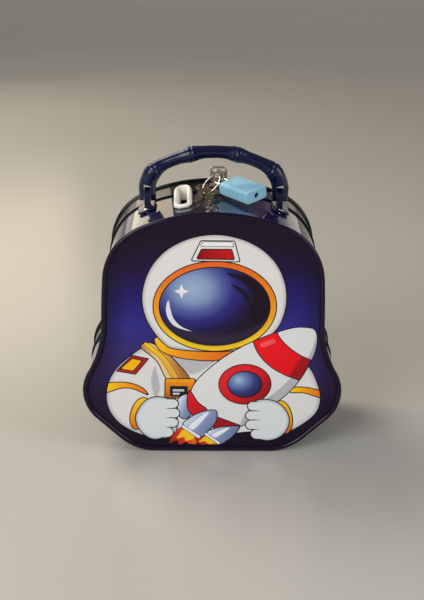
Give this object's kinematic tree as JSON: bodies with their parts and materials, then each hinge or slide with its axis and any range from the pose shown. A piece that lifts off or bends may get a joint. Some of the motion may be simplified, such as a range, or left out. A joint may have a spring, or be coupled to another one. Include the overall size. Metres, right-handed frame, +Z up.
{
  "type": "coin bank",
  "caption": "Bag-shaped tin money box with a bamboo-style carrying handle, a coin slot on top, and a rear cover held shut by a hasp with a small padlock and two keys.",
  "frame": {"origin": "middle of the base, on the plane the two rolled rims stand on", "axes": "+Z up, -Y towards the printed front, +X to the right seen from the front"},
  "size_m": [0.1718, 0.085, 0.2013],
  "materials": {
    "printed_tin": "glossy lithographed and varnished tinplate",
    "galaxy_tin": "glossy lithographed and varnished tinplate",
    "black_tin": "glossy black enamelled tinplate",
    "bare_tin": "plain rolled tinplate",
    "nickel_steel": "nickel-plated steel",
    "navy_plastic": "moulded, satin gloss",
    "white_plastic": "moulded",
    "blue_jacket": "soft moulded sleeve",
    "brass": "machined"
  },
  "bodies": {
    "front_part": {"front_panel": "printed_tin", "front_band": "galaxy_tin", "locating_collar": "bare_tin", "hinge_leaf_front": "bare_tin", "hinge_pin": "bare_tin", "side_keeper": "navy_plastic", "coin_slot_trim": "white_plastic", "coin_slot_clip": "white_plastic", "handle_lug_left": "navy_plastic", "handle_lug_right": "navy_plastic", "lug_rivet_left_front": "nickel_steel", "lug_rivet_left_rear": "nickel_steel", "lug_rivet_right_front": "nickel_steel", "lug_rivet_right_rear": "nickel_steel", "hasp_staple": "nickel_steel", "staple_rivet_1": "nickel_steel", "staple_rivet_2": "nickel_steel"},
    "rear_cover": {"cover_band": "black_tin", "back_panel": "black_tin", "hinge_leaf_cover": "bare_tin", "flap_bracket": "nickel_steel", "flap_pin": "nickel_steel", "bracket_rivet_1": "nickel_steel", "bracket_rivet_2": "nickel_steel"},
    "hasp_leaf": {"hasp_flap": "nickel_steel"},
    "carry_handle": {"handle": "navy_plastic", "handle_pin_left": "nickel_steel", "handle_pin_right": "nickel_steel"},
    "lock_shackle": {"padlock_shackle": "nickel_steel"},
    "lock_case": {"padlock_jacket": "blue_jacket", "padlock_core": "brass"},
    "lock_plug": {"padlock_plug": "brass"},
    "ring": {"key_ring": "nickel_steel"},
    "first_key": {"key_1": "nickel_steel"},
    "second_key": {"key_2": "nickel_steel"}
  },
  "joints": [
    {"name": "cover_hinge", "type": "hinge", "parent": "front_part", "child": "rear_cover", "pos_m": [0, 0.0125, 0.00175], "axis": [-1, 0, 0], "range_deg": [0, 100]},
    {"name": "flap_hinge", "type": "hinge", "parent": "rear_cover", "child": "hasp_leaf", "pos_m": [0.0034, 0.0186, 0.1689], "axis": [1, 0, 0], "range_deg": [-80, 6]},
    {"name": "handle_swing", "type": "hinge", "parent": "front_part", "child": "carry_handle", "pos_m": [0, 0, 0.1686], "axis": [1, 0, 0], "range_deg": [-60, 25]},
    {"name": "padlock_swing", "type": "hinge", "parent": "front_part", "child": "lock_shackle", "pos_m": [0.0034, 0.0075, 0.173], "axis": [0, 0, 1], "range_deg": [-1.5, 6]},
    {"name": "padlock_draw", "type": "slide", "parent": "lock_shackle", "child": "lock_case", "axis": [0.6552, -0.7537, -0.0523], "range_m": [0, 0.005]},
    {"name": "plug_turn", "type": "hinge", "parent": "lock_case", "child": "lock_plug", "pos_m": [0.02122, -0.00696, 0.17237], "axis": [0.6552, -0.7537, -0.0523], "range_deg": [0, 90]},
    {"name": "ring_swing", "type": "hinge", "parent": "front_part", "child": "ring", "pos_m": [0.0034, 0.0075, 0.1795], "axis": [-0.3697, 0.9291, 0], "range_deg": [0, 8]},
    {"name": "key_1_lift", "type": "hinge", "parent": "ring", "child": "first_key", "pos_m": [-0.00685, 0.01047, 0.17014], "axis": [-0.9833, 0.1822, 0], "range_deg": [0, 25]},
    {"name": "key_2_lift", "type": "hinge", "parent": "ring", "child": "second_key", "pos_m": [-0.002, -0.0017, 0.17014], "axis": [-0.9925, 0.1219, 0], "range_deg": [0, 18]}
  ]
}
